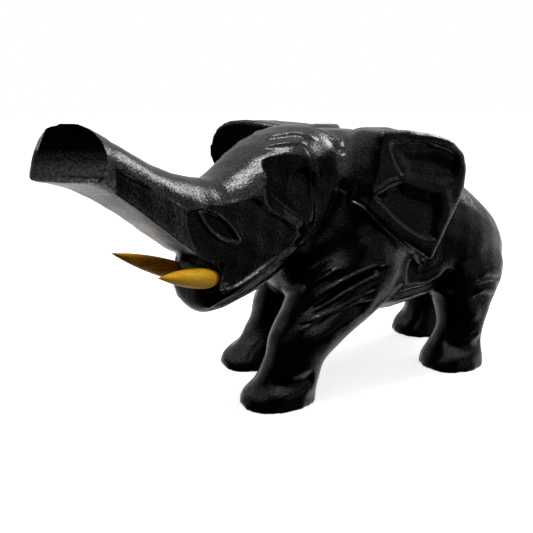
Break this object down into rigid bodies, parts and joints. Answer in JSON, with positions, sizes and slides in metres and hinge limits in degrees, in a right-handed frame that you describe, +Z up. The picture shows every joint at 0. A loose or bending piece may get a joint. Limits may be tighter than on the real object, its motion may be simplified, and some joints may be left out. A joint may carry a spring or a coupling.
{
  "type": "elephant figurine",
  "caption": "Striding elephant carved from one block of blackened wood, trunk raised, with tapered tusks set in drilled sockets.",
  "frame": {"origin": "on the ground, under the middle of the figure's bounding box", "axes": "-X is the way the elephant walks, -Y is its left side, +Z is up"},
  "size_m": [0.1954, 0.0858, 0.1014],
  "materials": {
    "blackened_wood": "black stained hardwood, satin to gloss polish",
    "tusk_bone": "polished yellow horn or bone, browner at root and tip"
  },
  "bodies": {
    "root": {"carved_body": "blackened_wood", "tusk_left": "tusk_bone", "tusk_right": "tusk_bone"}
  },
  "joints": []
}
